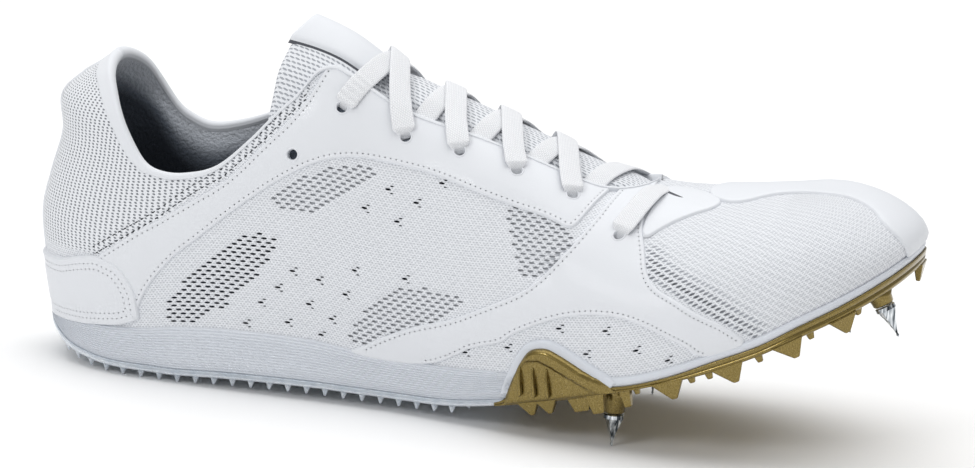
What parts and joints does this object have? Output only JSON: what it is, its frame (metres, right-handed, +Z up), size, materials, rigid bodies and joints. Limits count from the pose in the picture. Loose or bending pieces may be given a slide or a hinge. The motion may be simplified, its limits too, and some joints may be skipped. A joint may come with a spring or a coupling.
{
  "type": "track spike shoe",
  "caption": "Right low-cut running spike with a mesh upper, lace closure, foam heel wedge, studded rubber heel and a metallic forefoot plate with steel spikes.",
  "frame": {"origin": "tip of the heel's centre stud, on the plane that the heel studs and the rear spikes stand on, 33 mm in front of the last's back", "axes": "+X from heel to toe, +Y to the medial side, +Z up"},
  "size_m": [0.2807, 0.0919, 0.1149],
  "materials": {
    "rubber": "matte translucent moulded rubber",
    "foam": "satin white foam with fine ribs",
    "gold_plate": "satin metallic gold, slightly speckled",
    "steel": "bright machined",
    "mesh": "white knitted air mesh",
    "tongue_fabric": "white padded fabric",
    "insole_fabric": "matte",
    "overlay": "smooth white synthetic leather",
    "lace": "flat woven white tape"
  },
  "bodies": {
    "root": {"outsole": "rubber", "midsole": "foam", "spike_plate": "gold_plate", "spike_rear_lateral": "steel", "spike_rear_medial": "steel", "spike_front_lateral": "steel", "spike_front_medial": "steel", "upper": "mesh", "tongue": "tongue_fabric", "insole": "insole_fabric", "heel_counter": "overlay", "eyestay_lateral": "overlay", "eyestay_medial": "overlay", "strap_lateral": "overlay", "strap_medial": "overlay", "toe_cap": "overlay", "vamp_patch": "overlay", "lace_crossing_1": "lace", "lace_crossing_2": "lace", "lace_crossing_3": "lace", "lace_crossing_4": "lace", "lace_strap": "lace", "lace_bar": "lace"}
  },
  "joints": []
}
